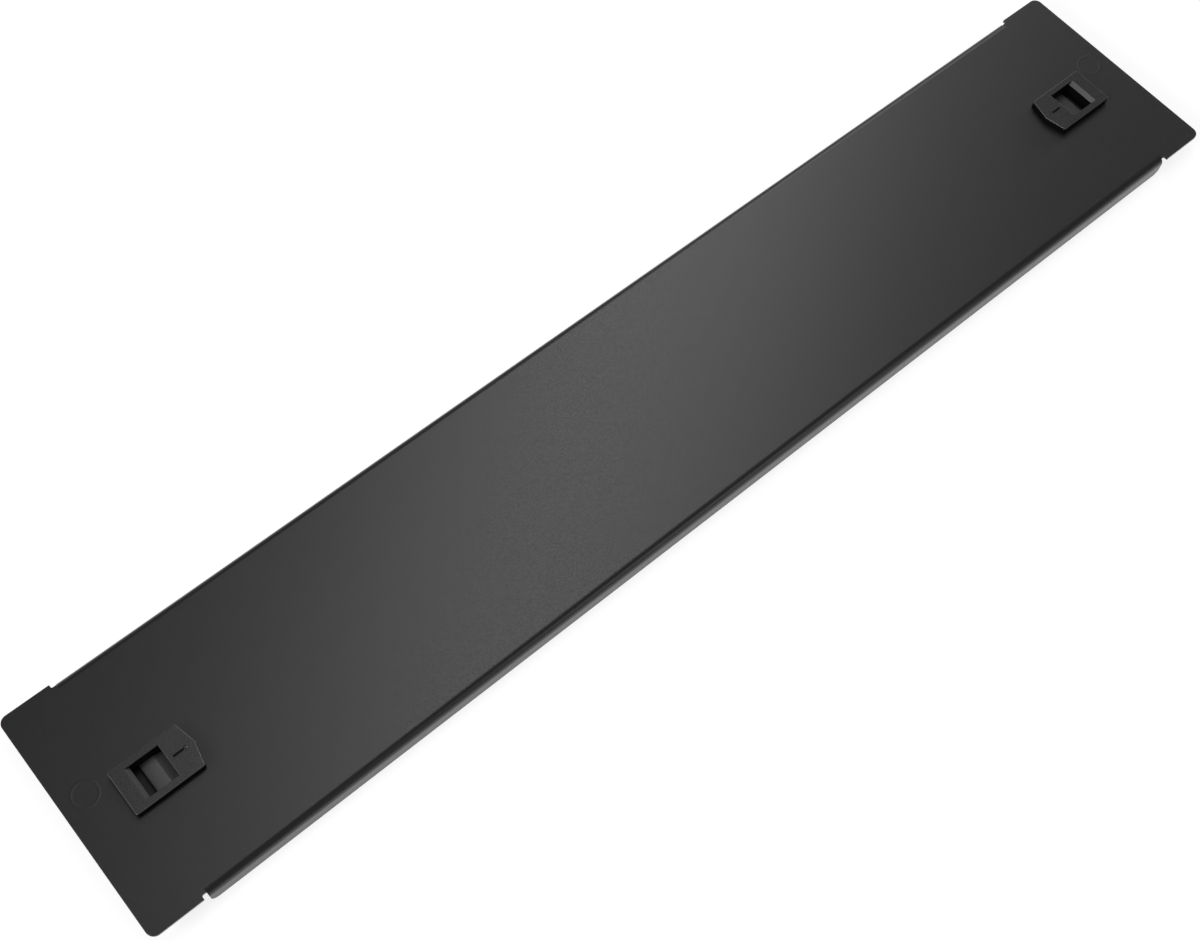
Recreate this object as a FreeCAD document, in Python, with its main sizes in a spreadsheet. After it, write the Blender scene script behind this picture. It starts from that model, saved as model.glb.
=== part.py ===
"""Two-unit blanking panel for a 19 inch rack, held by two spring latches.

The panel lies on its back: its front face looks up (+Z), its length runs along X and its
height along Y. The origin is the middle of the panel on the surface that the flanges rest on.

The sheet is cut, pierced and folded from one blank. A latch is a handle, put in from the front
through a window in the sheet, and a carriage that snaps on its legs from behind, so the two
slide together. A coil spring between the carriage and a tab of the sheet pushes the carriage's
nose outwards, behind the rack's rail. A stud behind each ear stands in a square hole of the rail.
"""

import FreeCAD
import Part
import Sketcher
import math
import os

Vector = FreeCAD.Vector

# Driving sizes, in millimetres: name, value, what it is.
SIZES = [
    # the sheet
    ("panel_width", 482.6, "over both ears"),
    ("panel_height", 88.1, "two rack units less the gap to the next panel"),
    ("sheet_thickness", 1.2, "steel sheet"),
    ("ear_corner_radius", 3.0, "outer corners of the ears"),
    ("ear_length", 20.7, "from the panel's end in to the flanges"),
    ("flange_depth", 8.2, "from the front face to the flange's free edge"),
    ("flange_setback", 0.3, "from the ear's edge in to the flange's outer face"),
    ("flange_corner_radius", 2.8, "free corners of the flanges"),
    ("fold_radius", 1.6, "inside the folds of the flanges"),
    ("ear_rounding", 0.2, "front edges of the ears"),
    ("relief_width", 1.7, "notch between an ear and a flange"),
    ("relief_depth", 1.5, "notch between an ear and a flange, from the ear's edge"),
    ("relief_radius", 0.6, "corner of the notch, under the ear"),
    # the rack that it goes in
    ("rail_cover", 16.3, "from the panel's end in to the edge of the rack's rail"),
    ("rail_room", 2.8, "behind the ear, for the rail's own sheet"),
    ("hole_inset", 8.75, "from the panel's end in to the rail's row of square holes"),
    ("hole_height", 6.35, "of the hole used, over the panel's middle"),
    # the latch handle
    ("latch_line", -2.0, "height of the latches' middle line on the panel"),
    ("latch_inset", 29.3, "from the panel's end in to the middle of the finger pocket"),
    ("latch_height", 3.0, "from the front face to the handle's top"),
    ("latch_engagement", 4.5, "nose behind the rail, locked"),
    ("release_clearance", 0.5, "nose clear of the rail, pulled in"),
    ("stop_clearance", 0.3, "between the neck and the tab, pulled in"),
    ("slide_clearance", 0.2, "between the latch and the sheet"),
    ("pocket_length", 10.8, "finger pocket, along the panel"),
    ("pocket_width", 12.4, "finger pocket, across the panel"),
    ("pocket_chamfer", 1.4, "outer rim of the finger pocket"),
    ("neck_wall", 1.4, "round the finger pocket"),
    ("neck_depth", 4.0, "from the front face to the neck's end"),
    ("tongue_depth", 2.2, "from the front face to the pocket's floor"),
    ("tongue_slot", 2.4, "open slot at the pocket's outer end"),
    ("scoop_length", 3.0, "inner stretch of the floor, which falls away"),
    ("scoop_depth", 1.1, "fall of the floor at the inner wall"),
    ("tongue_rounding", 0.5, "edge of the floor at the slot"),
    ("rim_rounding", 0.25, "inner rim of the finger pocket"),
    ("plate_outer_margin", 5.0, "handle's plate beyond the neck, outwards"),
    ("plate_inner_margin", 8.4, "handle's plate beyond the neck, inwards"),
    ("plate_side_margin", 1.0, "handle's plate beyond the neck, at each side"),
    ("point_length", 1.9, "pointed end of the plate"),
    ("plate_rounding", 0.3, "upper edges of the plate"),
    ("plate_corner_radius", 0.6, "upright corners of the plate"),
    ("groove_start", 0.3, "from the pocket to the pointer groove"),
    ("groove_length", 4.6, "pointer groove"),
    ("groove_width", 0.8, "pointer groove"),
    ("groove_depth", 0.4, "pointer groove"),
    ("dimple_radius", 0.9, "round dimple at the groove's end"),
    ("leg_width", 5.0, "snap legs under the neck, along the panel"),
    ("barb_length", 0.7, "hook of a snap leg"),
    ("barb_height", 1.8, "tapered end of a snap leg"),
    # the latch carriage
    ("carriage_flange", 1.6, "thickness of the plate behind the sheet"),
    ("carriage_flange_margin", 1.2, "plate beyond the box, at each side"),
    ("carriage_floor", 1.5, "thickness of the floor under the neck"),
    ("carriage_wall", 1.6, "outer walls of the box"),
    ("carriage_corner_radius", 1.0, "upright corners of the box"),
    ("carriage_end", 2.6, "box beyond the neck, outwards"),
    ("carriage_lead", 4.0, "box beyond the neck, inwards"),
    ("leg_room", 0.8, "for the snap legs to bend inwards"),
    ("nose_width", 7.2, "across the panel"),
    ("nose_thickness", 3.6, "from front to back"),
    ("nose_tip", 1.4, "thickness at the tip, where the ramp ends"),
    ("nose_ramp", 4.2, "length of the ramp behind the tip"),
    ("fit_clearance", 0.1, "between the handle and the carriage"),
    # the spring and the tab that it pushes on
    ("tab_width", 3.2, "tab folded from the sheet"),
    ("tab_fold_radius", 0.4, "inside the fold of a tab"),
    ("tab_relief", 1.0, "slot at each side of the tab"),
    ("tab_overlap", 1.2, "tab beyond the spring's axis"),
    ("spring_radius", 1.3, "outside of the coil"),
    ("spring_wire", 0.45, "diameter of the wire"),
    ("spring_length", 13.6, "fitted, at rest"),
    ("spring_turns", 6.0, "coils"),
    ("spring_clearance", 0.15, "round the coil in its channel"),
    ("spring_skin", 0.7, "under the channel"),
    ("sight_width", 1.8, "slot in the skin under the spring"),
    ("sight_margin", 2.2, "from the slot to the ends of the channel"),
    # the locating stud
    ("stud_radius", 4.4, "fits the rail's 9.5 mm square hole"),
    ("stud_length", 2.6, "behind the ear"),
    ("stud_chamfer", 0.5, "free end of the stud"),
]

document = FreeCAD.newDocument("blanking_panel")
dims = document.addObject("Spreadsheet::Sheet", "dims")
for row, (alias, number, meaning) in enumerate(SIZES, start=1):
    dims.set(f"A{row}", alias)
    dims.set(f"B{row}", str(number))
    dims.set(f"C{row}", meaning)
    dims.setAlias(f"B{row}", alias)
document.recompute()

# Heights, as expressions in the sheet's names.
FRONT = "dims.flange_depth"
REAR = f"({FRONT} - dims.sheet_thickness)"
FOLD_OUTSIDE = "(dims.fold_radius + dims.sheet_thickness)"

# The handle, measured outwards from the panel's middle and up from the latch's middle line.
LATCH_CENTRE = "(dims.panel_width / 2 - dims.latch_inset)"
POCKET_OUTER = f"({LATCH_CENTRE} + dims.pocket_length / 2)"
POCKET_INNER = f"({LATCH_CENTRE} - dims.pocket_length / 2)"
NECK_OUTER = f"({POCKET_OUTER} + dims.neck_wall)"
NECK_INNER = f"({POCKET_INNER} - dims.neck_wall)"
NECK_SIDE = "(dims.pocket_width / 2 + dims.neck_wall)"
NECK_END = f"({FRONT} - dims.neck_depth)"
PLATE_UNDER = f"({FRONT} + dims.slide_clearance)"
PLATE_TOP = f"({FRONT} + dims.latch_height)"
PLATE_TIP = f"({NECK_INNER} - dims.plate_inner_margin)"

# The tab, which also stops the latch when it is pulled in.
TRAVEL = "(dims.latch_engagement + dims.release_clearance)"
TAB_FACE = f"({NECK_INNER} - {TRAVEL} - dims.stop_clearance)"

# The carriage and the spring in it.
CARRIAGE_TOP = f"({REAR} - dims.slide_clearance)"
FLANGE_UNDER = f"({CARRIAGE_TOP} - dims.carriage_flange)"
FLOOR_TOP = f"({NECK_END} - dims.fit_clearance)"
FLOOR_UNDER = f"({FLOOR_TOP} - dims.carriage_floor)"
CHANNEL_FLOOR = f"({FLOOR_TOP} - 2 * dims.spring_radius - 2 * dims.spring_clearance)"
CHANNEL_SIDE = "(max(dims.tab_width / 2; dims.spring_radius + dims.spring_clearance) + dims.slide_clearance)"
CARRIAGE_UNDER = f"({CHANNEL_FLOOR} - dims.spring_skin)"
SPRING_AXIS = f"({FLOOR_TOP} - dims.spring_radius - dims.spring_clearance)"
SPRING_START = f"({TAB_FACE} + dims.fit_clearance)"
SPRING_SEAT = f"({SPRING_START} + dims.spring_length + dims.fit_clearance)"
LEG_POCKET_SIDE = f"({NECK_SIDE} + dims.barb_length + dims.slide_clearance)"
BOX_SIDE = f"({LEG_POCKET_SIDE} + dims.carriage_wall)"
BOX_OUTER = f"({NECK_OUTER} + dims.carriage_end)"
BOX_INNER = f"({NECK_INNER} - dims.carriage_lead)"
NOSE_FRONT = f"({REAR} - dims.rail_room)"
NOSE_TIP = "(dims.panel_width / 2 - dims.rail_cover + dims.latch_engagement)"

OVERCUT = "1"  # how far a cut runs past the face that it opens
WIRE_SIDES = 6  # flats that stand for the spring's round wire


def value(expression):
    """The present value of an expression in the sheet's names."""
    return float(dims.evalExpression(expression))


def minus(expression):
    """The expression with its sign turned."""
    return f"-({expression})"


def origin_plane(body, role):
    """One of the body's own origin planes."""
    return next(plane for plane in body.Origin.OriginFeatures if plane.Role == role)


def new_body(name):
    """An empty body whose label is its node's name."""
    body = document.addObject("PartDesign::Body", name)
    body.Label = name
    return body


def sketch_on(body, role, name, offset="0"):
    """An empty sketch parallel to one of the body's planes, moved along the plane's normal."""
    sketch = body.newObject("Sketcher::SketchObject", name)
    sketch.AttachmentSupport = [(origin_plane(body, role), "")]
    sketch.MapMode = "FlatFace"
    sketch.setExpression("AttachmentOffset.Base.z", offset)
    return sketch


def bind(sketch, constraint, expression):
    """Add a constraint and drive it by an expression."""
    sketch.setExpression(f"Constraints[{sketch.addConstraint(constraint)}]", expression)


def bind_point(sketch, line, across, up):
    """Place the start of a line by expressions, or leave a direction free with None."""
    for kind, expression in (("DistanceX", across), ("DistanceY", up)):
        if expression is not None:
            bind(sketch, Sketcher.Constraint(kind, -1, 1, line, 1, value(expression)), expression)


def polygon(sketch, corners):
    """A closed outline through corners that are pairs of expressions."""
    points = [Vector(value(across), value(up), 0) for across, up in corners]
    for start, end in zip(points, points[1:] + points[:1]):
        sketch.addGeometry(Part.LineSegment(start, end))
    for line, (across, up) in enumerate(corners):
        following = (line + 1) % len(corners)
        sketch.addConstraint(Sketcher.Constraint("Coincident", line, 2, following, 1))
        bind_point(sketch, line, across, up)
    document.recompute()


def outline(sketch, sides, rounds=None):
    """A closed outline of upright and level sides in turn.

    sides gives the place of each: across for the first, third and so on, up for the others.
    rounds gives the radius of the corner after a side, by the side's number.
    """
    rounds = rounds or {}
    count = len(sides)
    places = [value(side) for side in sides]
    corners = []
    for side in range(count):
        pair = (places[side], places[(side + 1) % count])
        corners.append(Vector(*(pair if side % 2 == 0 else pair[::-1]), 0))
    ways = [(corners[side] - corners[side - 1]).normalize() for side in range(count)]
    radii = [value(rounds[side]) if side in rounds else 0.0 for side in range(count)]
    for side in range(count):
        start = corners[side - 1] + ways[side] * radii[side - 1]
        end = corners[side] - ways[side] * radii[side]
        sketch.addGeometry(Part.LineSegment(start, end))
        sketch.addConstraint(Sketcher.Constraint("Horizontal" if side % 2 else "Vertical", side))
    for side, radius in enumerate(radii):
        following = (side + 1) % count
        if not radius:
            sketch.addConstraint(Sketcher.Constraint("Coincident", side, 2, following, 1))
            continue
        left_turn = ways[side].cross(ways[following]).z > 0
        centre = corners[side] + (ways[following] - ways[side]) * radius
        to_start = ways[following] * -1 if left_turn else ways[side]
        angle = math.atan2(to_start.y, to_start.x)
        circle = Part.Circle(centre, Vector(0, 0, 1), radius)
        arc = sketch.addGeometry(Part.ArcOfCircle(circle, angle, angle + math.pi / 2))
        first, last = (1, 2) if left_turn else (2, 1)
        sketch.addConstraint(Sketcher.Constraint("Tangent", side, 2, arc, first))
        sketch.addConstraint(Sketcher.Constraint("Tangent", arc, last, following, 1))
        bind(sketch, Sketcher.Constraint("Radius", arc, radius), rounds[side])
    for side, place in enumerate(sides):
        bind_point(sketch, side, None if side % 2 else place, place if side % 2 else None)
    document.recompute()


def extrude(kind, body, sketch, name, length, symmetric=False, reverse=False):
    """A Pad or a Pocket of a sketch, checked to have changed the solid."""
    before = body.Shape.Volume if body.Tip else 0.0
    feature = body.newObject(f"PartDesign::{kind}", name)
    feature.Profile = sketch
    feature.Reversed = reverse
    feature.SideType = "Symmetric" if symmetric else "One side"
    feature.setExpression("Length", length)
    document.recompute()
    change = body.Shape.Volume - before
    if (change <= 0) if kind == "Pad" else (change >= 0):
        raise RuntimeError(f"{body.Label}: {name} left the solid as it was")
    return feature


def mirror(body, features, role, name):
    """Repeat features on the other side of one of the body's planes."""
    copy = body.newObject("PartDesign::Mirrored", name)
    copy.Originals = features
    copy.MirrorPlane = (origin_plane(body, role), [""])
    body.Tip = copy
    document.recompute()


def dress(kind, body, name, size_property, expression, wanted):
    """A Fillet or a Chamfer on the edges of the solid whose middle passes the test."""
    base = body.Tip
    edges = []
    for number, edge in enumerate(base.Shape.Edges, start=1):
        middle = edge.valueAt((edge.FirstParameter + edge.LastParameter) / 2)
        if wanted(edge, middle):
            edges.append(f"Edge{number}")
    feature = body.newObject(f"PartDesign::{kind}", name)
    feature.Base = (base, edges)
    feature.setExpression(size_property, expression)
    document.recompute()


def near(first, second):
    """True for places that agree."""
    return abs(first - second) < 1e-4


def upright(edge):
    """True for a straight edge along Z."""
    ends = [vertex.Point for vertex in edge.Vertexes]
    return len(ends) == 2 and near((ends[0] - ends[1]).Length, abs(ends[0].z - ends[1].z))


def make_panel():
    """The folded sheet: two ears, two flanges, and a window with a tab for each latch."""
    panel = new_body("panel_sheet")
    ear_x = "dims.panel_width / 2"
    ear_y = "dims.panel_height / 2"
    flange_x = "(dims.panel_width / 2 - dims.ear_length)"
    notch_x = f"({flange_x} + dims.relief_width)"
    notch_y = f"({ear_y} - dims.relief_depth)"
    flange_y = f"({ear_y} - dims.flange_setback)"
    fold_y = f"({flange_y} - {FOLD_OUTSIDE})"

    blank = sketch_on(panel, "XY_Plane", "sheet_outline", REAR)
    # round the edge from the right ear's end: upper edge, left ear's end, lower edge
    sides = [ear_x, ear_y, notch_x, notch_y, flange_x, fold_y]
    sides += [minus(flange_x), notch_y, minus(notch_x), ear_y]
    sides += [minus(ear_x), minus(ear_y), minus(notch_x), minus(notch_y), minus(flange_x)]
    sides += [minus(fold_y), flange_x, minus(notch_y), notch_x, minus(ear_y)]
    rounds = {corner: "dims.ear_corner_radius" for corner in (0, 9, 10, 19)}
    rounds |= {corner: "dims.relief_radius" for corner in (2, 7, 12, 17)}
    outline(blank, sides, rounds)
    extrude("Pad", panel, blank, "sheet", "dims.sheet_thickness")

    profile = sketch_on(panel, "YZ_Plane", "flange_profile")
    inner_y = f"({flange_y} - dims.sheet_thickness)"
    root_y = f"({fold_y} - dims.sheet_thickness)"
    sides = [flange_y, "0", inner_y, REAR, root_y, FRONT]
    outline(profile, sides, {2: "dims.fold_radius", 5: FOLD_OUTSIDE})
    flange = extrude("Pad", panel, profile, "flange", f"2 * {flange_x}", symmetric=True)
    mirror(panel, [flange], "XZ_Plane", "flanges")

    def free_corner(edge, middle):
        return near(middle.z, 0) and near(abs(middle.x), value(flange_x))

    dress("Fillet", panel, "flange_corners", "Radius", "dims.flange_corner_radius", free_corner)

    def ear_edge(edge, middle):
        at_end = abs(middle.x) > value(notch_x)
        at_notch = near(abs(middle.x), value(notch_x)) or near(abs(middle.y), value(notch_y))
        return near(middle.z, value(FRONT)) and at_end and not at_notch

    dress("Fillet", panel, "ear_edges", "Radius", "dims.ear_rounding", ear_edge)

    window = sketch_on(panel, "XY_Plane", "window_outline", FRONT)
    tab_fold_outside = "(dims.tab_fold_radius + dims.sheet_thickness)"
    fold_x = f"({TAB_FACE} - {tab_fold_outside})"
    outer_x = f"({NECK_OUTER} + dims.slide_clearance)"
    half = f"({NECK_SIDE} + dims.slide_clearance)"
    relief = "(dims.tab_width / 2 + dims.tab_relief)"
    window_up, window_down = f"(dims.latch_line + {half})", f"(dims.latch_line - {half})"
    relief_up, relief_down = f"(dims.latch_line + {relief})", f"(dims.latch_line - {relief})"
    sides = [outer_x, window_up, TAB_FACE, relief_up, fold_x, relief_down, TAB_FACE, window_down]
    outline(window, sides)
    window_cut = extrude("Pocket", panel, window, "window", "dims.sheet_thickness")

    profile = sketch_on(panel, "XZ_Plane", "tab_profile", "-dims.latch_line")
    tab_end = f"({SPRING_AXIS} - dims.tab_overlap)"
    root_x = f"({fold_x} - dims.sheet_thickness)"
    sides = [TAB_FACE, tab_end, f"({TAB_FACE} - dims.sheet_thickness)", REAR, root_x, FRONT]
    outline(profile, sides, {2: "dims.tab_fold_radius", 5: tab_fold_outside})
    tab = extrude("Pad", panel, profile, "tab", "dims.tab_width", symmetric=True)
    mirror(panel, [window_cut, tab], "YZ_Plane", "windows_and_tabs")
    return panel


def make_handle(name):
    """The moulding in front: a pointed plate, a neck round the finger pocket, two snap legs."""
    handle = new_body(name)
    plate_side = f"({NECK_SIDE} + dims.plate_side_margin)"
    plate_outer = f"({NECK_OUTER} + dims.plate_outer_margin)"
    shoulder = f"({PLATE_TIP} + dims.point_length)"

    plate = sketch_on(handle, "XY_Plane", f"{name}_plate_outline", PLATE_UNDER)
    corners = [(plate_outer, f"-{plate_side}"), (plate_outer, plate_side), (shoulder, plate_side)]
    corners += [(PLATE_TIP, "0"), (shoulder, f"-{plate_side}")]
    polygon(plate, corners)
    extrude("Pad", handle, plate, f"{name}_plate", f"{PLATE_TOP} - {PLATE_UNDER}")

    dress(
        "Fillet", handle, f"{name}_plate_corners", "Radius", "dims.plate_corner_radius",
        lambda edge, middle: upright(edge),
    )
    dress(
        "Fillet", handle, f"{name}_plate_edges", "Radius", "dims.plate_rounding",
        lambda edge, middle: near(middle.z, value(PLATE_TOP)),
    )

    neck = sketch_on(handle, "XY_Plane", f"{name}_neck_outline", PLATE_UNDER)
    outline(neck, [NECK_OUTER, NECK_SIDE, NECK_INNER, f"-{NECK_SIDE}"])
    extrude("Pad", handle, neck, f"{name}_neck", f"{PLATE_UNDER} - {NECK_END}", reverse=True)

    section = sketch_on(handle, "XZ_Plane", f"{name}_pocket_section")
    tongue_outer = f"({POCKET_OUTER} - dims.tongue_slot)"
    tongue_top = f"({FRONT} - dims.tongue_depth)"
    above = f"({PLATE_TOP} + {OVERCUT})"
    below = f"({NECK_END} - {OVERCUT})"
    corners = [(POCKET_OUTER, above), (POCKET_OUTER, below), (tongue_outer, below)]
    corners += [(tongue_outer, tongue_top), (f"{POCKET_INNER} + dims.scoop_length", tongue_top)]
    corners += [(POCKET_INNER, f"{tongue_top} - dims.scoop_depth"), (POCKET_INNER, above)]
    polygon(section, corners)
    pocket = (section, f"{name}_pocket", "dims.pocket_width")
    extrude("Pocket", handle, *pocket, symmetric=True)

    def outer_rim(edge, middle):
        return near(middle.z, value(PLATE_TOP)) and near(middle.x, value(POCKET_OUTER))

    chamfer = (f"{name}_pocket_chamfer", "Size", "dims.pocket_chamfer")
    dress("Chamfer", handle, *chamfer, outer_rim)

    def inner_rim(edge, middle):
        return near(middle.z, value(PLATE_TOP)) and near(middle.x, value(POCKET_INNER))

    rim = (f"{name}_pocket_rim", "Radius", "dims.rim_rounding")
    dress("Fillet", handle, *rim, inner_rim)

    def tongue_edge(edge, middle):
        return near(middle.x, value(tongue_outer)) and near(middle.z, value(tongue_top))

    tongue = (f"{name}_tongue_edge", "Radius", "dims.tongue_rounding")
    dress("Fillet", handle, *tongue, tongue_edge)

    groove = sketch_on(handle, "XY_Plane", f"{name}_groove_outline", PLATE_TOP)
    groove_outer = f"({POCKET_INNER} - dims.neck_wall - dims.groove_start)"
    groove_inner = f"({groove_outer} - dims.groove_length)"
    half = "dims.groove_width / 2"
    outline(groove, [groove_outer, half, groove_inner, f"-{half}"])
    extrude("Pocket", handle, groove, f"{name}_groove", "dims.groove_depth")

    dimple = handle.newObject("PartDesign::SubtractiveSphere", f"{name}_dimple")
    dimple.setExpression("Radius", "dims.dimple_radius")
    dimple.setExpression("AttachmentOffset.Base.x", groove_inner)
    dimple.setExpression("AttachmentOffset.Base.z", f"{PLATE_TOP} + dims.groove_depth / 2")
    dimple.AttachmentSupport = [(origin_plane(handle, "XY_Plane"), "")]
    dimple.MapMode = "ObjectXY"
    document.recompute()

    leg_section = sketch_on(handle, "YZ_Plane", f"{name}_leg_section", LATCH_CENTRE)
    leg_inner = "dims.pocket_width / 2"
    catch = f"({FLOOR_UNDER} - dims.fit_clearance)"
    leg_end = f"({catch} - dims.barb_height)"
    barb = f"({NECK_SIDE} + dims.barb_length)"
    corners = [(leg_inner, NECK_END), (leg_inner, leg_end), (NECK_SIDE, leg_end)]
    corners += [(barb, f"{catch} - dims.barb_height / 3"), (barb, catch)]
    corners += [(NECK_SIDE, catch), (NECK_SIDE, NECK_END)]
    polygon(leg_section, corners)
    leg = extrude("Pad", handle, leg_section, f"{name}_leg", "dims.leg_width", symmetric=True)
    mirror(handle, [leg], "XZ_Plane", f"{name}_legs")
    return handle


def make_carriage(name):
    """The moulding behind: a box round the neck and the spring, with the nose at its end."""
    carriage = new_body(name)
    flange_side = f"({BOX_SIDE} + dims.carriage_flange_margin)"

    rounds = {corner: "dims.carriage_corner_radius" for corner in range(4)}
    flange = sketch_on(carriage, "XY_Plane", f"{name}_flange_outline", CARRIAGE_TOP)
    outline(flange, [BOX_OUTER, flange_side, BOX_INNER, f"-{flange_side}"], rounds)
    pad = (flange, f"{name}_flange", "dims.carriage_flange")
    extrude("Pad", carriage, *pad, reverse=True)

    box = sketch_on(carriage, "XY_Plane", f"{name}_box_outline", FLANGE_UNDER)
    outline(box, [BOX_OUTER, BOX_SIDE, BOX_INNER, f"-{BOX_SIDE}"], rounds)
    pad = (box, f"{name}_box", f"{FLANGE_UNDER} - {CARRIAGE_UNDER}")
    extrude("Pad", carriage, *pad, reverse=True)

    nose = sketch_on(carriage, "XZ_Plane", f"{name}_nose_section")
    nose_rear = f"({NOSE_FRONT} - dims.nose_thickness)"
    nose_root = f"({BOX_OUTER} - dims.carriage_wall)"
    corners = [(nose_root, NOSE_FRONT), (nose_root, nose_rear)]
    corners += [(f"{NOSE_TIP} - dims.nose_ramp", nose_rear)]
    corners += [(NOSE_TIP, f"{NOSE_FRONT} - dims.nose_tip"), (NOSE_TIP, NOSE_FRONT)]
    polygon(nose, corners)
    pad = (nose, f"{name}_nose", "dims.nose_width")
    extrude("Pad", carriage, *pad, symmetric=True)

    aperture = sketch_on(carriage, "XY_Plane", f"{name}_aperture_outline", CARRIAGE_TOP)
    around = " + dims.fit_clearance)"
    aperture_side = f"({NECK_SIDE}{around}"
    aperture_inner = f"({NECK_INNER} - dims.fit_clearance)"
    sides = [f"({NECK_OUTER}{around}", aperture_side, aperture_inner, f"-{aperture_side}"]
    outline(aperture, sides)
    cut = (aperture, f"{name}_aperture", f"{CARRIAGE_TOP} - {FLOOR_TOP}")
    extrude("Pocket", carriage, *cut)

    channel = sketch_on(carriage, "XZ_Plane", f"{name}_channel_section")
    over = f"({CARRIAGE_TOP} + {OVERCUT})"
    mouth = f"({BOX_INNER} - {OVERCUT})"
    inside_neck = f"({NECK_INNER} + {OVERCUT})"
    inside_top = f"({FLOOR_TOP} + {OVERCUT} / 2)"
    corners = [(mouth, over), (inside_neck, over), (inside_neck, inside_top)]
    corners += [(SPRING_SEAT, inside_top), (SPRING_SEAT, CHANNEL_FLOOR), (mouth, CHANNEL_FLOOR)]
    polygon(channel, corners)
    cut = (channel, f"{name}_channel", f"2 * {CHANNEL_SIDE}")
    extrude("Pocket", carriage, *cut, symmetric=True)

    slot = sketch_on(carriage, "XY_Plane", f"{name}_leg_slot_outline", FLOOR_TOP)
    slot_half = "(dims.leg_width / 2 + dims.slide_clearance)"
    slot_ends = [f"({LATCH_CENTRE} + {slot_half})", f"({LATCH_CENTRE} - {slot_half})"]
    slot_inner = "(dims.pocket_width / 2 - dims.leg_room)"
    outline(slot, [slot_ends[0], aperture_side, slot_ends[1], slot_inner])
    slot_cut = extrude("Pocket", carriage, slot, f"{name}_leg_slot", "dims.carriage_floor")

    well = sketch_on(carriage, "XY_Plane", f"{name}_well_outline", FLOOR_UNDER)
    well_outer = f"({BOX_OUTER} - dims.carriage_wall)"
    well_inner = f"({BOX_INNER} + dims.carriage_wall)"
    well_near = f"({CHANNEL_SIDE} + dims.spring_skin)"
    outline(well, [well_outer, LEG_POCKET_SIDE, well_inner, well_near])
    cut = (well, f"{name}_well", f"{FLOOR_UNDER} - {CARRIAGE_UNDER}")
    well_cut = extrude("Pocket", carriage, *cut)
    mirror(carriage, [slot_cut, well_cut], "XZ_Plane", f"{name}_slots_and_wells")

    sight = sketch_on(carriage, "XY_Plane", f"{name}_sight_outline", CHANNEL_FLOOR)
    sight_outer = f"({SPRING_SEAT} - dims.sight_margin)"
    sight_inner = f"({BOX_INNER} + dims.sight_margin)"
    half = "dims.sight_width / 2"
    outline(sight, [sight_outer, half, sight_inner, f"-{half}"])
    extrude("Pocket", carriage, sight, f"{name}_sight_slot", "dims.spring_skin")
    return carriage


def make_spring(name):
    """The coil spring, wound about its own Z axis from the end on the tab."""
    spring = new_body(name)
    wire = sketch_on(spring, "XZ_Plane", f"{name}_wire_section")
    corners = []
    for corner in range(WIRE_SIDES):
        angle = 2 * math.pi * corner / WIRE_SIDES
        across = f"dims.spring_radius - dims.spring_wire / 2 * {1 - math.cos(angle):.6f}"
        corners.append((across, f"dims.spring_wire / 2 * {1 + math.sin(angle):.6f}"))
    polygon(wire, corners)

    helix = spring.newObject("PartDesign::AdditiveHelix", f"{name}_coil")
    helix.Profile = wire
    helix.ReferenceAxis = (wire, ["V_Axis"])
    helix.Mode = "height-turns-angle"
    helix.setExpression("Height", "dims.spring_length - dims.spring_wire")
    helix.setExpression("Turns", "dims.spring_turns")
    document.recompute()
    return spring


def make_stud(name):
    """The round stud welded behind an ear, turned about its own Z axis, seat at the top."""
    stud = new_body(name)
    section = sketch_on(stud, "XZ_Plane", f"{name}_section")
    end = "-dims.stud_length"
    corners = [("0", "0"), ("0", end), ("dims.stud_radius - dims.stud_chamfer", end)]
    corners += [("dims.stud_radius", f"{end} + dims.stud_chamfer"), ("dims.stud_radius", "0")]
    polygon(section, corners)
    turning = stud.newObject("PartDesign::Revolution", f"{name}_turning")
    turning.Profile = section
    turning.ReferenceAxis = (section, ["V_Axis"])
    turning.Angle = 360
    document.recompute()
    return stud


def place(body, across, up, height, turn):
    """Put a body at a place given by expressions, turned as given."""
    body.Placement = FreeCAD.Placement(Vector(), turn)
    for axis, expression in (("x", across), ("y", up), ("z", height)):
        body.setExpression(f"Placement.Base.{axis}", expression)


def make_side(side, sign, half_turn):
    """The pieces at one end of the panel; the latch is the same at both, turned half round."""
    turn = FreeCAD.Rotation(Vector(0, 0, 1), half_turn)
    handle = make_handle(f"{side}_latch_handle")
    carriage = make_carriage(f"{side}_latch_carriage")
    for moulding in (handle, carriage):
        place(moulding, "0", "dims.latch_line", "0", turn)
    spring = make_spring(f"{side}_latch_spring")
    lay_down = turn * FreeCAD.Rotation(Vector(0, 1, 0), 90)
    place(spring, f"{sign} * {SPRING_START}", "dims.latch_line", SPRING_AXIS, lay_down)
    stud = make_stud(f"{side}_locating_stud")
    hole = "(dims.panel_width / 2 - dims.hole_inset)"
    place(stud, f"{sign} * {hole}", "dims.hole_height", REAR, turn)
    return [handle, carriage, spring, stud]


def check(pieces):
    """Stop if any object of the document failed or any piece is not one valid solid."""
    for thing in document.Objects:
        if {"Invalid", "Error"} & set(thing.State):
            raise RuntimeError(f"{thing.Label} failed: {thing.State}")
    for piece in pieces:
        shape = piece.Shape
        if shape.isNull() or not shape.isValid() or len(shape.Solids) != 1:
            raise RuntimeError(f"{piece.Label} is not one valid solid")


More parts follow.
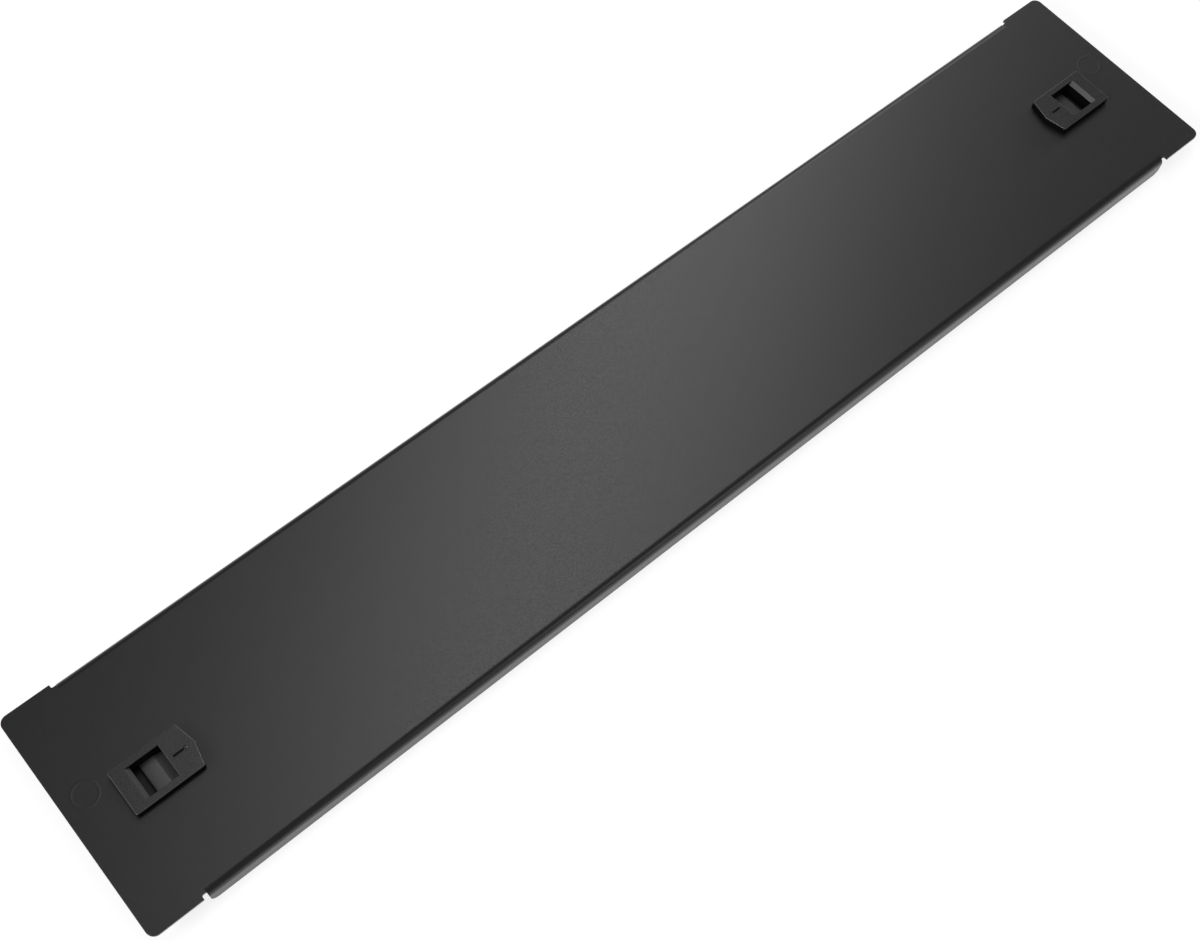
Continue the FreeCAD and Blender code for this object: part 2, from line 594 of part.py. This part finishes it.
def main():
    pieces = [make_panel()]
    for side, sign, half_turn in (("left", "-1", 180), ("right", "1", 0)):
        pieces += make_side(side, sign, half_turn)
    document.recompute()
    check(pieces)
    os.makedirs("parts", exist_ok=True)
    for piece in pieces:
        piece.Shape.exportStep(f"parts/{piece.Label}.step")
        box = piece.Shape.BoundBox
        spans = [(box.XMin, box.XMax), (box.YMin, box.YMax), (box.ZMin, box.ZMax)]
        print(piece.Label, " ".join(f"{low:.2f}..{high:.2f}" for low, high in spans))


main()
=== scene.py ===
import math

import bpy
from mathutils import Matrix, Vector


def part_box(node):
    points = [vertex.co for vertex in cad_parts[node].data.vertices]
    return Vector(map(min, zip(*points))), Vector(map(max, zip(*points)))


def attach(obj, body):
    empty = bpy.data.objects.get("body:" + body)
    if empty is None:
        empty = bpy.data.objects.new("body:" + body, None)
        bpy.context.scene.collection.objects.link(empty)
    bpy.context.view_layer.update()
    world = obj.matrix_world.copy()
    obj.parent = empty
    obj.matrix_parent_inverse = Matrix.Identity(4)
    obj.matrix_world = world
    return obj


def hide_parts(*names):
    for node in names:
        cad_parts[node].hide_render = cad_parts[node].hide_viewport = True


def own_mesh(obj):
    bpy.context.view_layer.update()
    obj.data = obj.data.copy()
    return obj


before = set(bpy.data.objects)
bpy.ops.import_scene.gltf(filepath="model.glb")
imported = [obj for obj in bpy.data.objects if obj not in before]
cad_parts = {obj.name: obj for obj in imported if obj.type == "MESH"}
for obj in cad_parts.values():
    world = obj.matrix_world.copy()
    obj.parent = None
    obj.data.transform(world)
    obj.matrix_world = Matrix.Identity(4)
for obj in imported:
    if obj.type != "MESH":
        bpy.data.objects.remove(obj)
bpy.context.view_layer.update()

# Scene of a rack blanking panel that lies face up on a white table. Lengths are in metres.
MM = 0.001
SIDES = {"left": -1, "right": 1}
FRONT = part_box("panel_sheet")[1].z

# The camera: where it stands over the panel's front face, what it is aimed at and its upward side.
CAMERA_PLACE = Vector((-209.5, -188.7, 503.2)) * MM
CAMERA_AIM = Vector((-35.6, -8.55, 0.0)) * MM
CAMERA_UP = Vector((0.5648, 0.6955, 0.4442))
CAMERA_LENS = 48.78
CAMERA_SENSOR = 36.0

# The coil springs: the sides of the wire's section, and the steps of one turn.
WIRE = 0.45 * MM
WIRE_SIDES = 14
COIL_TURNS = 6
COIL_STEPS = 48
CLOSED_TURNS = 0.75
CLOSED_CLIMB = 1.15 * WIRE

# The powder coat.
PAINT = (0.009, 0.009, 0.0095)
PAINT_ROUGHNESS = (0.32, 0.40)
PAINT_EDGE = 0.15 * MM
ORANGE_PEEL = 0.010 * MM
WELD_MARK_HEIGHT = 0.030 * MM
WELD_MARK_WIDTH = 0.7 * MM

# The plastics, the depth of their texture, and where a handle gets painted light on its lips and
# pocket floor, or painted shade and a duller finish on its upright sides and groove floor.
HANDLE_PLASTIC = (0.022, 0.022, 0.022)
HANDLE_ROUGHNESS = (0.24, 0.32)
HANDLE_TEXTURE = 0.006 * MM
CARRIAGE_PLASTIC = (0.007, 0.007, 0.007)
CARRIAGE_ROUGHNESS = (0.58, 0.70)
CARRIAGE_TEXTURE = 0.003 * MM
PLASTIC_EDGE = 0.12 * MM
PLASTIC_GLOSS = 0.5
POCKET_SUNK = 0.90 * MM
GROOVE_SUNK = 0.15 * MM
SUNK_FADE = 0.05 * MM
# Painted light: how many times lighter a handle's lips and pocket floor are painted.
PAINTED_LIGHT_GAIN = 3.2
# Painted shade: how dark a handle's upright sides and groove floor are painted; they are also made
# rougher and less glossy.
PAINTED_SIDE_SHADE = 0.2
DULL_ROUGHNESS = 0.25
DULL_GLOSS = 0.1

# The spring steel.
SPRING_STEEL = (0.56, 0.55, 0.53)
TARNISH_SHADE = 0.7
SPRING_ROUGHNESS = (0.24, 0.38)
DRAWN_LINES = 0.003 * MM

# The table and the light.
FLOOR_SIZE = 3.0
FLOOR_COLOUR = (0.24, 0.24, 0.24)
FLOOR_LIFT = 0.84
FLOOR_MIRRORED = 1.0
FLOOR_DROP = 0.02 * MM
WORLD_LIGHT = 0.16

# The lamps: name, place, direction of the length, length, width and power. The strip makes the
# long glow on the sheet, the side and right ones pick out the latches' edges and lips, the back
# one lights the sheet's far end, and the front one lights the lower flange.
SOFTBOXES = [
    ("strip_softbox", (0.41, 0.49, 1.32), (0.36, 0.25, -0.11), 1.5, 0.32, 7.2),
    ("side_softbox", (-1.2, 0.08, 0.78), (0.0, 1.0, 0.0), 0.5, 0.4, 10.5),
    ("right_softbox", (1.4, 0.1, 0.25), (0.0, 1.0, 0.0), 0.3, 0.2, 3.5),
    ("back_softbox", (1.2, 1.1, 0.95), (1.0, -1.0, 0.0), 0.8, 0.5, 3.0),
    ("front_softbox", (0.42, -1.15, 0.65), (1.0, 0.3, 0.0), 0.6, 0.5, 2.0),
]


class Shader:
    """A node material that is put together one node at a time."""

    def __init__(self, name):
        self.material = bpy.data.materials.new(name)
        self.material.use_nodes = True
        self.tree = self.material.node_tree
        self.tree.nodes.clear()

    def node(self, kind, inputs=None, **settings):
        """Add a node; an input is either a plain value or another node's output."""
        made = self.tree.nodes.new(kind)
        for name, setting in settings.items():
            setattr(made, name, setting)
        for socket, given in (inputs or {}).items():
            if isinstance(given, bpy.types.NodeSocket):
                self.tree.links.new(given, made.inputs[socket])
            else:
                made.inputs[socket].default_value = given
        return made

    def place(self):
        """A point on the piece, in metres."""
        return self.node("ShaderNodeTexCoord").outputs["Object"]

    def noise(self, place, size, detail=2.0, roughness=0.5):
        """Noise from 0 to 1 whose blobs are about as large as size."""
        inputs = {"Vector": place, "Scale": 1 / size, "Detail": detail, "Roughness": roughness}
        return self.node("ShaderNodeTexNoise", inputs).outputs["Fac"]

    def spread(self, source, low, high, start=0.3, end=0.7):
        """Map a noise's usual range to the range from low to high."""
        inputs = {"Value": source, "From Min": start, "From Max": end, "To Min": low, "To Max": high}
        return self.node("ShaderNodeMapRange", inputs).outputs["Result"]

    def math(self, operation, first, second=0.0):
        """One step of arithmetic on two numbers, each a plain one or another node's output."""
        made = self.node("ShaderNodeMath", {0: first, 1: second}, operation=operation)
        return made.outputs["Value"]

    def mix(self, factor, first, second):
        """Blend two colours, each a plain one or another node's output."""
        inputs = {0: factor}
        for socket, colour in ((6, first), (7, second)):
            inputs[socket] = (*colour, 1.0) if isinstance(colour, tuple) else colour
        return self.node("ShaderNodeMix", inputs, data_type="RGBA").outputs[2]

    def relief(self, height, edge_radius):
        """A normal from a height in metres, with sharp edges rounded a little."""
        edge = self.node("ShaderNodeBevel", {"Radius": edge_radius}, samples=6)
        inputs = {"Strength": 1.0, "Distance": 1.0, "Height": height, "Normal": edge.outputs["Normal"]}
        return self.node("ShaderNodeBump", inputs).outputs["Normal"]

    def surface(self, colour, **inputs):
        """Close the material with the main shader."""
        named = {name.replace("_", " ").title(): given for name, given in inputs.items()}
        if "Specular Level" in named:
            named["Specular IOR Level"] = named.pop("Specular Level")
        main = self.node("ShaderNodeBsdfPrincipled", {"Base Color": colour, **named})
        output = self.node("ShaderNodeOutputMaterial")
        self.tree.links.new(main.outputs["BSDF"], output.inputs["Surface"])
        return self.material


def shade(colour, factor):
    """A lighter or darker copy of a colour."""
    return tuple(channel * factor for channel in colour)


def ring(shader, place, centre, radius, width):
    """A round ridge about an upright axis, from 0 to 1."""
    offset = shader.node("ShaderNodeVectorMath", {0: place, 1: centre}, operation="SUBTRACT")
    level = {0: offset.outputs["Vector"], 1: (1.0, 1.0, 0.0)}
    level = shader.node("ShaderNodeVectorMath", level, operation="MULTIPLY")
    distance = shader.node("ShaderNodeVectorMath", {0: level.outputs["Vector"]}, operation="LENGTH")
    away = shader.math("SUBTRACT", distance.outputs["Value"], radius)
    inputs = {"Value": shader.math("ABSOLUTE", away), "From Min": 0.0, "From Max": width}
    inputs |= {"To Min": 1.0, "To Max": 0.0}
    return shader.node("ShaderNodeMapRange", inputs, interpolation_type="SMOOTHSTEP").outputs["Result"]


def powder_coat(name, weld_marks=False):
    """Satin black powder coat: broad mottling, a fine grain and a faint orange peel."""
    shader = Shader(name)
    place = shader.place()
    mottle = shader.noise(place, 45 * MM, detail=1.0)
    grain = shader.noise(place, 0.7 * MM, detail=3.0, roughness=0.6)
    tone = shader.math("ADD", shader.spread(mottle, -0.15, 0.15), shader.spread(grain, 0.25, 0.75))
    colour = shader.mix(tone, shade(PAINT, 0.85), shade(PAINT, 1.15))
    peel = shader.noise(place, 0.9 * MM, detail=2.0)
    height = shader.math("MULTIPLY", peel, ORANGE_PEEL)
    if weld_marks:
        for side in SIDES:
            low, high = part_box(f"{side}_locating_stud")
            mark = ring(shader, place, (low + high) / 2, (high.x - low.x) / 2, WELD_MARK_WIDTH)
            height = shader.math("ADD", height, shader.math("MULTIPLY", mark, WELD_MARK_HEIGHT))
    rough = shader.spread(grain, *PAINT_ROUGHNESS)
    return shader.surface(colour, roughness=rough, normal=shader.relief(height, PAINT_EDGE))


def handle_light_and_shade(shader, place, top):
    """Two masks of a latch handle, 0 to 1: painted light, and painted shade with a duller finish.

    The first paints light on the sloping lips and the pocket's floor, which lies well under the height
    top.
    The second paints shade on the upright sides and the floor of the pointer groove, which also get a
    duller finish.
    """
    normal = shader.node("ShaderNodeNewGeometry").outputs["True Normal"]
    upward = shader.node("ShaderNodeSeparateXYZ", {"Vector": normal}).outputs["Z"]
    side = shader.spread(upward, 1.0, 0.0, start=0.30, end=0.60)
    level = shader.spread(upward, 0.0, 1.0, start=0.90, end=0.97)
    height = shader.node("ShaderNodeSeparateXYZ", {"Vector": place}).outputs["Z"]
    pocket, groove = top - POCKET_SUNK, top - GROOVE_SUNK
    shallow = shader.spread(height, 0.0, 1.0, start=pocket - SUNK_FADE, end=pocket + SUNK_FADE)
    sunk = shader.spread(height, 1.0, 0.0, start=groove - SUNK_FADE, end=groove + SUNK_FADE)
    flat_above_pocket = shader.math("MULTIPLY", level, shallow)
    # Painted light on every face but the flat ones above the pocket floor.
    painted_lit = shader.math("SUBTRACT", 1.0, flat_above_pocket)
    # Painted shade on the upright sides and the groove floor, which are also made duller.
    return painted_lit, shader.math("MAXIMUM", side, shader.math("MULTIPLY", flat_above_pocket, sunk))


def moulded_plastic(name, base, roughness, texture, top=None):
    """Black moulded plastic with a fine sparked texture and faint flow marks.

    A latch handle, whose top height is given, gets painted light on its lips and pocket floor and
    painted shade on its upright sides and groove floor.
    """
    shader = Shader(name)
    place = shader.place()
    flow = shader.noise(place, 9 * MM, detail=2.0)
    sparks = shader.noise(place, 0.25 * MM, detail=3.0, roughness=0.65)
    tone = shader.math("ADD", shader.spread(flow, -0.2, 0.2), shader.spread(sparks, 0.2, 0.8))
    colour = shader.mix(tone, shade(base, 0.8), shade(base, 1.2))
    height = shader.math("MULTIPLY", sparks, texture)
    rough = shader.spread(sparks, *roughness)
    gloss = PLASTIC_GLOSS
    if top is not None:
        painted_lit, dull_and_shaded = handle_light_and_shade(shader, place, top)
        # Painted light on the lips and pocket floor.
        colour = shader.mix(painted_lit, colour, shade(base, PAINTED_LIGHT_GAIN))
        # Painted shade on the upright sides and groove floor, which are also made rougher and less
        # glossy.
        colour = shader.mix(dull_and_shaded, colour, shade(base, PAINTED_SIDE_SHADE))
        rough = shader.math("ADD", rough, shader.math("MULTIPLY", dull_and_shaded, DULL_ROUGHNESS))
        gloss = shader.spread(dull_and_shaded, gloss, DULL_GLOSS, start=0.0, end=1.0)
    normal = shader.relief(height, PLASTIC_EDGE)
    return shader.surface(colour, roughness=rough, specular_level=gloss, normal=normal)


def spring_wire(name):
    """Drawn steel wire with fine lines along it and a little tarnish."""
    shader = Shader(name)
    along = shader.node("ShaderNodeUVMap", uv_map="wire").outputs["UV"]
    stretch = shader.node("ShaderNodeMapping", {"Vector": along, "Scale": (3.0, 90.0, 1.0)})
    lines = shader.noise(stretch.outputs["Vector"], 1.0, detail=3.0)
    tarnish = shader.noise(shader.place(), 1.6 * MM, detail=2.0)
    bright = shader.spread(tarnish, 0.0, 1.0)
    colour = shader.mix(bright, shade(SPRING_STEEL, TARNISH_SHADE), SPRING_STEEL)
    height = shader.math("MULTIPLY", lines, DRAWN_LINES)
    rough = shader.spread(lines, *SPRING_ROUGHNESS)
    normal = shader.node("ShaderNodeBump", {"Strength": 1.0, "Distance": 1.0, "Height": height})
    return shader.surface(colour, metallic=1.0, roughness=rough, normal=normal.outputs["Normal"])


def dress_frame():
    """Give every CAD node its finish, and hand back the finishes."""
    handle = (HANDLE_PLASTIC, HANDLE_ROUGHNESS, HANDLE_TEXTURE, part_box("left_latch_handle")[1].z)
    carriage = (CARRIAGE_PLASTIC, CARRIAGE_ROUGHNESS, CARRIAGE_TEXTURE)
    finishes = {
        "panel_sheet": powder_coat("panel_powder_coat", weld_marks=True),
        "locating_stud": powder_coat("stud_powder_coat"),
        "latch_handle": moulded_plastic("handle_plastic", *handle),
        "latch_carriage": moulded_plastic("carriage_plastic", *carriage),
        "latch_spring": spring_wire("spring_wire"),
    }
    for name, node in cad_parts.items():
        finish = next(finishes[ending] for ending in finishes if name.endswith(ending))
        node.data.materials.clear()
        node.data.materials.append(finish)
    return finishes


def coil_climb(turn, open_climb):
    """How far the wire has climbed along its axis after so many turns.

    The end turns lie closed, and each turn between them climbs by open_climb.
    """
    closed_turns = min(turn, CLOSED_TURNS) + max(turn - (COIL_TURNS - CLOSED_TURNS), 0)
    open_turns = min(max(turn - CLOSED_TURNS, 0), COIL_TURNS - 2 * CLOSED_TURNS)
    return closed_turns * CLOSED_CLIMB + open_turns * open_climb


def coil_points(low, high, sign):
    """The rings of points round a coiled wire that fills a box, from its fixed end outwards."""
    start = low.x if sign > 0 else high.x
    middle = (low + high) / 2
    radius = (high.z - low.z) / 2 - WIRE / 2
    run = high.x - low.x - WIRE
    open_climb = (run - 2 * CLOSED_TURNS * CLOSED_CLIMB) / (COIL_TURNS - 2 * CLOSED_TURNS)
    points = []
    for step in range(COIL_TURNS * COIL_STEPS + 1):
        turn = step / COIL_STEPS
        along = start + sign * (WIRE / 2 + coil_climb(turn, open_climb))
        angle = 2 * math.pi * turn
        outward = Vector((0, math.cos(angle), math.sin(angle)))
        for spoke in range(WIRE_SIDES):
            round_wire = 2 * math.pi * spoke / WIRE_SIDES
            offset = outward * (radius + WIRE / 2 * math.cos(round_wire))
            ahead = WIRE / 2 * math.sin(round_wire)
            points.append(Vector((along + ahead, middle.y, middle.z)) + offset)
    return points


def coil_mesh(name, points, sign):
    """A closed mesh over the rings of points, with a UV map that runs along the wire."""
    steps = COIL_TURNS * COIL_STEPS
    quads, marks = [], []
    for step in range(steps):
        for spoke in range(WIRE_SIDES):
            first = step * WIRE_SIDES + spoke
            second = step * WIRE_SIDES + (spoke + 1) % WIRE_SIDES
            corners = (first, second, second + WIRE_SIDES, first + WIRE_SIDES)
            quads.append(corners if sign < 0 else corners[::-1])
            marks.append((step, spoke))
    start_cap = tuple(range(WIRE_SIDES))
    end_cap = tuple(range(steps * WIRE_SIDES, (steps + 1) * WIRE_SIDES))
    caps = [start_cap[::-1], end_cap] if sign < 0 else [start_cap, end_cap[::-1]]

    mesh = bpy.data.meshes.new(name)
    mesh.from_pydata(points, [], quads + caps)
    layer = mesh.uv_layers.new(name="wire")
    for polygon, (step, spoke) in zip(mesh.polygons, marks):
        for corner, loop in enumerate(polygon.loop_indices):
            ahead = corner in ((2, 3) if sign < 0 else (0, 1))
            layer.data[loop].uv = ((step + ahead) / COIL_STEPS, spoke / WIRE_SIDES)
    mesh.shade_smooth()
    return mesh


def make_spring(side, finish):
    """A coil spring of round wire with closed ends, where the CAD spring is.

    Its fixed end is at the folded tab, and it rides with the panel.
    """
    name, sign = f"{side}_coil_spring", SIDES[side]
    low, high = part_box(f"{side}_latch_spring")
    mesh = coil_mesh(name, coil_points(low, high, sign), sign)
    mesh.materials.append(finish)
    coil = bpy.data.objects.new(name, mesh)
    bpy.context.scene.collection.objects.link(coil)

    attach(coil, "panel")
    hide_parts(f"{side}_latch_spring")
    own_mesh(coil)


def make_floor():
    """A white table top that keeps the panel's shadow and can be seen through from below."""
    shader = Shader("white_table")
    grain = shader.noise(shader.place(), 4 * MM, detail=3.0)
    colour = shader.mix(grain, shade(FLOOR_COLOUR, 0.99), FLOOR_COLOUR)
    plain = shader.node("ShaderNodeBsdfDiffuse", {"Color": colour, "Roughness": 0.3})
    light_path = shader.node("ShaderNodeLightPath")
    paths = [light_path.outputs[f"Is {kind} Ray"] for kind in ("Camera", "Transmission", "Glossy")]
    direct = shader.math("MULTIPLY", shader.math("MAXIMUM", paths[0], paths[1]), FLOOR_LIFT)
    strength = shader.math("ADD", direct, shader.math("MULTIPLY", paths[2], FLOOR_MIRRORED))
    lift = shader.node("ShaderNodeEmission", {"Strength": strength})
    both = {0: plain.outputs["BSDF"], 1: lift.outputs["Emission"]}
    both = shader.node("ShaderNodeAddShader", both)
    clear = shader.node("ShaderNodeBsdfTransparent")
    behind = shader.node("ShaderNodeNewGeometry").outputs["Backfacing"]
    sides = {0: behind, 1: both.outputs["Shader"], 2: clear.outputs["BSDF"]}
    sides = shader.node("ShaderNodeMixShader", sides)
    output = shader.node("ShaderNodeOutputMaterial")
    shader.tree.links.new(sides.outputs["Shader"], output.inputs["Surface"])

    half = FLOOR_SIZE / 2
    corners = [(-half, -half, 0), (half, -half, 0), (half, half, 0), (-half, half, 0)]
    mesh = bpy.data.meshes.new("floor")
    mesh.from_pydata([Vector(corner) for corner in corners], [], [(0, 1, 2, 3)])
    mesh.materials.append(shader.material)
    floor = bpy.data.objects.new("floor", mesh)
    floor.location.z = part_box("panel_sheet")[0].z - FLOOR_DROP
    bpy.context.scene.collection.objects.link(floor)


def make_world():
    """Even white surroundings."""
    world = bpy.data.worlds.new("surroundings")
    world.use_nodes = True
    tree = world.node_tree
    background = tree.nodes["Background"]
    light_path = tree.nodes.new("ShaderNodeLightPath")
    strength = tree.nodes.new("ShaderNodeMix")
    strength.inputs[2].default_value = WORLD_LIGHT
    strength.inputs[3].default_value = 1.0
    tree.links.new(light_path.outputs["Is Camera Ray"], strength.inputs[0])
    tree.links.new(strength.outputs[0], background.inputs["Strength"])
    background.inputs["Color"].default_value = (1.0, 1.0, 1.0, 1.0)
    bpy.context.scene.world = world


def add_softbox(name, place, along, length, width, power):
    """A soft rectangular lamp aimed at the panel's middle, with its length in a given direction."""
    lamp = bpy.data.lights.new(name, "AREA")
    lamp.shape = "RECTANGLE"
    lamp.size = length
    lamp.size_y = width
    lamp.energy = power
    holder = bpy.data.objects.new(name, lamp)
    back = Vector(place).normalized()
    upward = back.cross(Vector(along)).normalized()
    turn = Matrix((upward.cross(back), upward, back)).transposed().to_4x4()
    holder.matrix_world = Matrix.Translation(Vector(place)) @ turn
    bpy.context.scene.collection.objects.link(holder)


def make_camera():
    """A camera that looks down on the panel from beyond its lower left corner."""
    lift = Vector((0, 0, FRONT))
    place, aim = CAMERA_PLACE + lift, CAMERA_AIM + lift
    back = (place - aim).normalized()
    right = CAMERA_UP.cross(back).normalized()
    up = back.cross(right)
    data = bpy.data.cameras.new("camera")
    data.lens = CAMERA_LENS
    data.sensor_width = CAMERA_SENSOR
    data.sensor_fit = "HORIZONTAL"
    data.clip_start = 0.01
    camera = bpy.data.objects.new("camera", data)
    turn = Matrix((right, up, back)).transposed().to_4x4()
    camera.matrix_world = Matrix.Translation(place) @ turn
    bpy.context.scene.collection.objects.link(camera)
    bpy.context.scene.camera = camera


make_camera()
finishes = dress_frame()
for side in SIDES:
    make_spring(side, finishes["latch_spring"])
make_floor()
make_world()
for softbox in SOFTBOXES:
    add_softbox(*softbox)
bpy.context.scene.view_settings.view_transform = "Standard"
